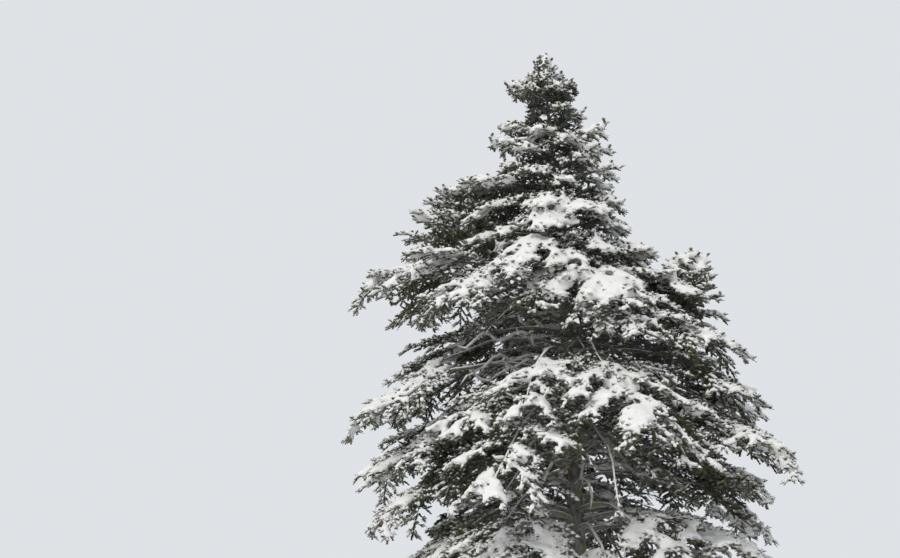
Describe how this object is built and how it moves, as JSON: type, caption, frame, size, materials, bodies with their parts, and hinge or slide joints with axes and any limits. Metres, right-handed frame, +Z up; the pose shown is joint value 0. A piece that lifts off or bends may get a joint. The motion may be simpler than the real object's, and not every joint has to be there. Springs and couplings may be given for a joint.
{
  "type": "fir tree",
  "caption": "Whole open-grown fir under snow: a leaning spire on a wide lower crown, with two side limbs turned up into leaders, standing on a flat cut at ground level.",
  "frame": {"origin": "middle of the flat cut under the trunk, at ground level", "axes": "+Z up along the trunk; the picture looks along +Y, so -X is the tree's left side and +X its right"},
  "size_m": [8.7867, 8.4638, 13.2],
  "materials": {
    "bark": "matte",
    "needles": "matte",
    "snow": "matte"
  },
  "bodies": {
    "root": {"left_leader_bough": "bark", "left_leader_foliage": "needles", "right_leader_bough": "bark", "right_leader_foliage": "needles", "tier01_front_foliage": "needles", "tier01_left_foliage": "needles", "tier01_right_foliage": "needles", "tier02_back_foliage": "needles", "tier02_left_foliage": "needles", "tier02_right_foliage": "needles", "tier03_back_foliage": "needles", "tier03_front_foliage": "needles", "tier03_left_foliage": "needles", "tier03_right_foliage": "needles", "tier03_right_snow": "snow", "tier04_front_foliage": "needles", "tier04_left_foliage": "needles", "tier04_left_snow": "snow", "tier04_right_foliage": "needles", "tier05_back_foliage": "needles", "tier05_front_foliage": "needles", "tier05_right_foliage": "needles", "tier06_back_foliage": "needles", "tier06_front_foliage": "needles", "tier06_front_snow": "snow", "tier06_right_foliage": "needles", "tier07_left_bough": "bark", "tier07_left_foliage": "needles", "tier07_left_snow": "snow", "tier08_back_foliage": "needles", "tier08_front_foliage": "needles", "tier08_front_snow": "snow", "tier08_right_bough": "bark", "tier08_right_foliage": "needles", "tier09_back_foliage": "needles", "tier09_left_bough": "bark", "tier09_left_foliage": "needles", "tier09_right_bough": "bark", "tier09_right_foliage": "needles", "tier10_back_foliage": "needles", "tier10_front_foliage": "needles", "tier10_left_bough": "bark", "tier10_left_foliage": "needles", "tier10_right_bough": "bark", "tier10_right_foliage": "needles", "tier11_front_foliage": "needles", "tier11_left_bough": "bark", "tier11_left_foliage": "needles", "tier11_left_snow": "snow", "tier11_right_bough": "bark", "tier11_right_foliage": "needles", "tier12_back_foliage": "needles", "tier12_left_foliage": "needles", "tier12_right_foliage": "needles", "tier13_back_foliage": "needles", "tier13_front_foliage": "needles", "tier13_left_foliage": "needles", "tier13_right_foliage": "needles", "tip_foliage": "needles", "trunk": "bark"}
  },
  "joints": []
}
